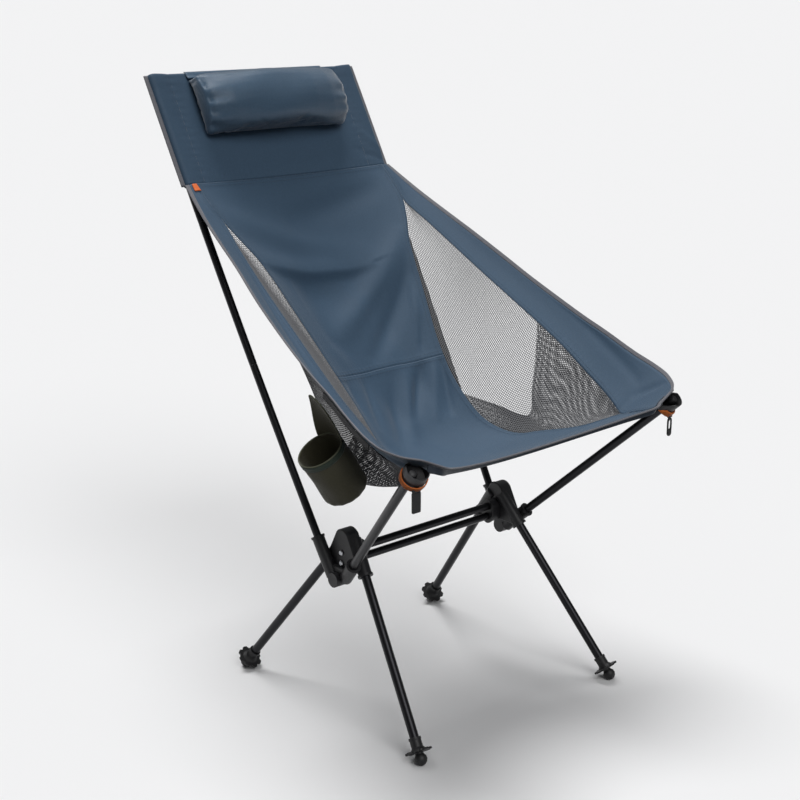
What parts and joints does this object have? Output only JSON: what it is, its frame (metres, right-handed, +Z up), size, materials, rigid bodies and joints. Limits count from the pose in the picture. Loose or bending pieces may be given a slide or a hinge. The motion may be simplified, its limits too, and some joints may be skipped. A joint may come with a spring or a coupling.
{
  "type": "ultralight backpacking chair",
  "caption": "Folding high-back camping chair: hubs and shock-corded poles carry a cloth sling with net sides, a pillow roll, side pockets and a drink pouch.",
  "frame": {"origin": "on the ground, under the middle of the chair's outline", "axes": "+Z up, the sitter faces -Y, +X to the sitter's left"},
  "size_m": [0.6299, 0.7475, 0.9845],
  "materials": {
    "anodised_tube": "satin black anodised",
    "moulded_nylon": "fine moulded grain, matt black",
    "steel": "plain turned steel",
    "foot_plastic": "matt black, slightly soft",
    "shock_cord": "braided elastic cord",
    "sling_cloth": "dense polyester weave, blue grey",
    "net": "open grey net",
    "binding_tape": "grey folded tape, stitched",
    "dark_cloth": "dark blue cloth",
    "orange_tape": "orange woven tape",
    "black_webbing": "black woven webbing",
    "pouch_cloth": "olive cloth"
  },
  "bodies": {
    "frame": {"crossbar_upper": "anodised_tube", "crossbar_lower": "anodised_tube", "upright_lower_left": "anodised_tube", "upright_lower_right": "anodised_tube", "upright_middle_left": "anodised_tube", "upright_middle_right": "anodised_tube", "upright_upper_left": "anodised_tube", "upright_upper_right": "anodised_tube", "seat_pole_left": "anodised_tube", "seat_pole_right": "anodised_tube", "hub_right": "moulded_nylon", "hub_left": "moulded_nylon", "upright_tip_left": "moulded_nylon", "upright_tip_right": "moulded_nylon", "seat_pole_tip_left": "moulded_nylon", "seat_pole_tip_right": "moulded_nylon", "pole_cup_left": "moulded_nylon", "pole_cup_right": "moulded_nylon", "crossbar_screw_upper_left": "steel", "crossbar_screw_upper_right": "steel", "crossbar_screw_lower_left": "steel", "crossbar_screw_lower_right": "steel", "ferrule_lower_left": "steel", "ferrule_lower_right": "steel", "ferrule_upper_left": "steel", "ferrule_upper_right": "steel", "leg_cord_front_left": "shock_cord", "leg_cord_front_right": "shock_cord", "leg_cord_rear_left": "shock_cord", "leg_cord_rear_right": "shock_cord", "upright_cord_left": "shock_cord", "upright_cord_right": "shock_cord", "headrest_panel": "sling_cloth", "back_panel": "sling_cloth", "seat_panel": "sling_cloth", "side_band_left": "sling_cloth", "side_band_right": "sling_cloth", "side_mesh_left": "net", "side_mesh_right": "net", "side_pocket_left": "net", "side_pocket_right": "net", "edge_binding": "binding_tape", "front_hem": "dark_cloth", "cup_band_left": "orange_tape", "cup_band_right": "orange_tape", "pouch_webbing": "black_webbing"},
    "leg_front_left": {"leg_tube_front_left": "anodised_tube", "foot_front_left": "foot_plastic"},
    "leg_rear_left": {"leg_tube_rear_left": "anodised_tube", "foot_rear_left": "foot_plastic"},
    "leg_front_right": {"leg_tube_front_right": "anodised_tube", "foot_front_right": "foot_plastic"},
    "leg_rear_right": {"leg_tube_rear_right": "anodised_tube", "foot_rear_right": "foot_plastic"},
    "pillow": {"pillow": "sling_cloth", "pillow_flap": "sling_cloth"},
    "drink_pouch": {"drink_pouch": "pouch_cloth"},
    "pull_strap": {"pull_strap_left": "black_webbing"},
    "pull_loop": {"pull_loop_right": "black_webbing"}
  },
  "joints": [
    {"name": "leg_pull_front_left", "type": "slide", "parent": "frame", "child": "leg_front_left", "axis": [-0.144, -0.6034, -0.7844], "range_m": [0, 0.04], "stiffness_N_per_m": 150, "springref_m": -0.04},
    {"name": "leg_pull_rear_left", "type": "slide", "parent": "frame", "child": "leg_rear_left", "axis": [-0.144, 0.6034, -0.7844], "range_m": [0, 0.04], "stiffness_N_per_m": 150, "springref_m": -0.04},
    {"name": "leg_pull_front_right", "type": "slide", "parent": "frame", "child": "leg_front_right", "axis": [0.144, -0.6034, -0.7844], "range_m": [0, 0.04], "stiffness_N_per_m": 150, "springref_m": -0.04},
    {"name": "leg_pull_rear_right", "type": "slide", "parent": "frame", "child": "leg_rear_right", "axis": [0.144, 0.6034, -0.7844], "range_m": [0, 0.04], "stiffness_N_per_m": 150, "springref_m": -0.04},
    {"name": "pillow_flip", "type": "hinge", "parent": "frame", "child": "pillow", "pos_m": [0, 0.36421, 0.98375], "axis": [-1, 0, 0], "range_deg": [0, 270]},
    {"name": "pouch_swing", "type": "hinge", "parent": "frame", "child": "drink_pouch", "pos_m": [-0.3, -0.1775, 0.562], "axis": [0.053, 0.9136, 0.4032], "range_deg": [0, 40]},
    {"name": "pull_strap_swing", "type": "hinge", "parent": "frame", "child": "pull_strap", "pos_m": [-0.27313, -0.36242, 0.45871], "axis": [1, 0, 0], "range_deg": [-35, 35]},
    {"name": "pull_loop_swing", "type": "hinge", "parent": "frame", "child": "pull_loop", "pos_m": [0.27313, -0.36242, 0.45871], "axis": [1, 0, 0], "range_deg": [-35, 35]}
  ]
}
